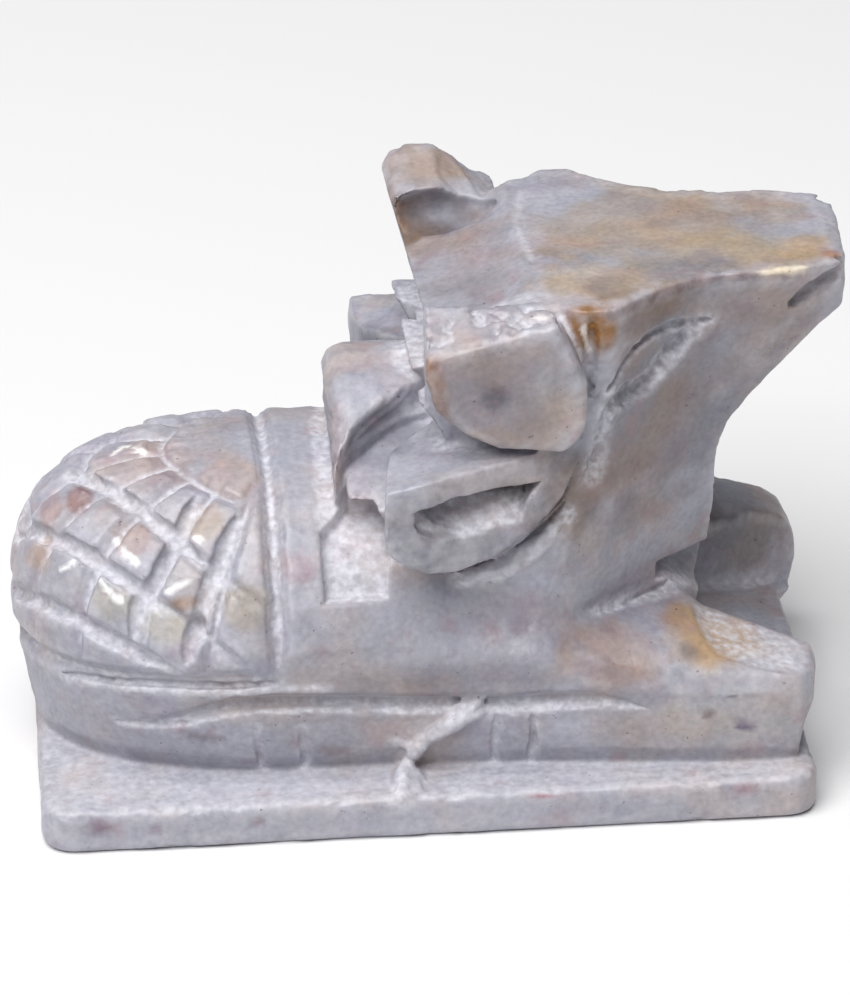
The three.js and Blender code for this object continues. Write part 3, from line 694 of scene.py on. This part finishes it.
def stone_material():
    material = bpy.data.materials.new("soapstone")
    material.use_nodes = True
    n = Nodes(material.node_tree)
    shader = material.node_tree.nodes["Principled BSDF"]
    spot = n.add("ShaderNodeTexCoord").outputs["Object"]
    # This attribute carries white dust, and painted light on up-facing sides and on the ledge
    powder_and_painted_light = n.attribute("powder_and_painted_light")
    edge = n.attribute("edge")
    tint = n.attribute("tint", "Color")

    grain = n.noise(spot, 1900.0, 3.0)
    cloud = n.noise(spot, 420.0, 4.0)
    colour = n.mix(1.0, tint, n.add("ShaderNodeCombineColor", {
        "Red": n.ramp(grain, 0.25, 0.75, 0.86, 1.14),
        "Green": n.ramp(grain, 0.25, 0.75, 0.86, 1.14),
        "Blue": n.ramp(grain, 0.25, 0.75, 0.87, 1.13),
    }).outputs[0], "MULTIPLY")
    colour = n.mix(1.0, colour, n.add("ShaderNodeCombineColor", {
        "Red": n.ramp(cloud, 0.3, 0.7, 0.92, 1.09),
        "Green": n.ramp(cloud, 0.3, 0.7, 0.94, 1.06),
        "Blue": n.ramp(cloud, 0.3, 0.7, 0.96, 1.04),
    }).outputs[0], "MULTIPLY")
    stain = n.ramp(n.noise(spot, 330.0, 3.0), 0.6, 0.72)
    colour = n.mix(n.times(stain, 0.35), colour, (*srgb(150, 120, 124), 1))
    speck = n.ramp(n.noise(spot, 2300.0, 1.0), 0.74, 0.8)
    colour = n.mix(n.times(speck, 0.65), colour, (*srgb(78, 58, 66), 1))

    # Worn edges made lighter: wear, with a painted highlight on them
    rubbed_and_highlit = n.times(edge, n.ramp(n.noise(spot, 900.0, 3.0), 0.35, 0.65, 0.0, 0.22))
    colour = n.mix(rubbed_and_highlit, colour, (*srgb(214, 210, 214), 1))
    broken = n.ramp(n.noise(spot, 1500.0, 4.0), 0.3, 0.62, 1.0, 0.25)
    # White dust broken up by noise, with the painted light the attribute carries
    dust = n.times(powder_and_painted_light, broken)
    colour = n.mix(dust, colour, (*srgb(212, 212, 220), 1))
    material.node_tree.links.new(colour, shader.inputs["Base Color"])

    rough = n.ramp(cloud, 0.3, 0.7, 0.5, 0.64)
    rough = n.plus(rough, n.times(dust, 0.3))
    rough = n.plus(rough, n.times(edge, -0.2))
    material.node_tree.links.new(rough, shader.inputs["Roughness"])

    height = n.plus(n.times(grain, 0.5), n.noise(spot, 700.0, 3.0))
    height = n.plus(height, n.times(n.times(dust, 0.4), n.noise(spot, 2600.0, 2.0)))
    bump = n.add("ShaderNodeBump", {"Height": height, "Strength": 0.5, "Distance": 0.00012})
    material.node_tree.links.new(bump.outputs["Normal"], shader.inputs["Normal"])
    return material


def carve_bull():
    field = field_of(*solid_mesh(NODE))
    worn, coarse = rounded(field)
    for join in WORKED:
        work_over(worn, *join)
    end_collar(worn)
    lean_rear(worn)
    shape_knee(worn)
    hollow(worn, *HORN_HOLLOW)
    guide = Field(worn.values.copy(), worn.low)
    for pocket in POCKETS.values():
        press(worn, guide, -1, pocket)
        press(worn, guide, 1, pocket)
    for k, stroke in enumerate(STROKES.values()):
        carve(worn, guide, stroke, 100 + k)
    ob = mesh_object("soapstone_bull", *skin_of(worn))
    points, normals = places(ob.data)
    moved = weather(points, normals, coarse.at(points))
    ob.data.vertices.foreach_set("co", (moved * MM).astype(np.float32).ravel())
    ob.data.update()
    thinned(ob, MOST_TRIANGLES)
    ob.data.shade_smooth()
    points, normals = places(ob.data)
    cavity = coarse.at(points)
    # Up-facing sides take more powder: dust, and painted light on the lit side of grooves
    upward_light_share = 0.35 + 0.65 * smoothstep(-0.3, 0.4, normals[:, 2])
    hollows = 0.8 * smoothstep(0.03, 0.26, -cavity) * upward_light_share * smoothstep(5, 6.5, points[:, 2])
    for centre, reach in CLEAN:
        hollows *= smoothstep(0.8, 1.2, np.linalg.norm((points - centre) / reach, axis=1))
    # The plinth ledge's up-facing top whitened: dust, with a painted highlight
    ledge_dust_and_highlight = 0.45 * smoothstep(0.6, 0.9, normals[:, 2]) * (1 - smoothstep(4.2, 5, points[:, 2]))
    folds = floors_of(points) * smoothstep(-0.1, 0.3, normals[:, 2])
    # Powder in strokes, hollows and fold floors, with painted light on up-facing sides and the ledge
    dust = np.max([powder_of(points, guide) * np.maximum(upward_light_share, 0.8), hollows, ledge_dust_and_highlight, folds], axis=0)
    store(ob.data, "tint", "FLOAT_COLOR", colours_with_painted_light(points, normals, cavity))
    store(ob.data, "powder_and_painted_light", "FLOAT", dust)
    store(ob.data, "edge", "FLOAT", smoothstep(0.05, 0.3, cavity))
    ob.data.materials.clear()
    ob.data.materials.append(stone_material())
    return ob


# Stage


def stage():
    mesh = bpy.data.meshes.new("floor")
    half = 3
    mesh.from_pydata([(-half, -half, 0), (half, -half, 0), (half, half, 0), (-half, half, 0)], [], [(0, 1, 2, 3)])
    floor = bpy.data.objects.new("floor", mesh)
    bpy.context.scene.collection.objects.link(floor)
    material = bpy.data.materials.new("floor")
    material.use_nodes = True
    shader = material.node_tree.nodes["Principled BSDF"]
    shader.inputs["Base Color"].default_value = (0.78, 0.78, 0.79, 1)
    shader.inputs["Roughness"].default_value = 0.8
    shader.inputs["Specular IOR Level"].default_value = 0.1
    mesh.materials.append(material)


def area_light(name, at, size, watts, colour):
    light = bpy.data.lights.new(name, "AREA")
    light.size = size
    light.energy = watts
    light.color = colour
    ob = bpy.data.objects.new(name, light)
    bpy.context.scene.collection.objects.link(ob)
    ob.location = at
    ob.rotation_mode = "QUATERNION"
    ob.rotation_quaternion = (Vector((0, 0, 0.02)) - Vector(at)).to_track_quat("-Z", "Y")


def lights():
    world = bpy.data.worlds.new("studio")
    bpy.context.scene.world = world
    world.use_nodes = True
    background = world.node_tree.nodes["Background"]
    background.inputs["Color"].default_value = (0.94, 0.96, 1, 1)
    background.inputs["Strength"].default_value = 0.14
    area_light("key", (-0.28, -0.34, 0.92), 0.95, 17, (1, 0.99, 0.98))
    area_light("spark", (-0.35, -0.5, 0.55), 0.06, 0.3, (1, 1, 1))


def camera():
    turn, rise = math.radians(CAMERA_TURN), math.radians(CAMERA_RISE)
    right = Vector((math.cos(turn), -math.sin(turn), 0))
    ahead = Vector((math.sin(turn) * math.cos(rise), math.cos(turn) * math.cos(rise), -math.sin(rise)))
    up = right.cross(ahead)
    data = bpy.data.cameras.new("camera")
    data.lens = LENS
    data.sensor_width = 36
    data.clip_start = 0.01
    ob = bpy.data.objects.new("camera", data)
    bpy.context.scene.collection.objects.link(ob)
    axes = Matrix((right, up, -ahead)).transposed()
    ob.matrix_world = Matrix.Translation(Vector(CAMERA_AT) * MM) @ axes.to_4x4()
    bpy.context.scene.camera = ob


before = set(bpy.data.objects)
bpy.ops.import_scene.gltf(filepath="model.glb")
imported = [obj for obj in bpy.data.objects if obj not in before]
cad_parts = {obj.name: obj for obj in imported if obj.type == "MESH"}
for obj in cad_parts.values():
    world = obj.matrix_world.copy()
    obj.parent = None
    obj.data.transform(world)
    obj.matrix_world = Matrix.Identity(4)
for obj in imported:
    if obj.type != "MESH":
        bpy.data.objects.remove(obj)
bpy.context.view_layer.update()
bull = carve_bull()
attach(bull, "root")
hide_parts(NODE)
stage()
lights()
camera()
bpy.context.scene.view_settings.view_transform = "Standard"
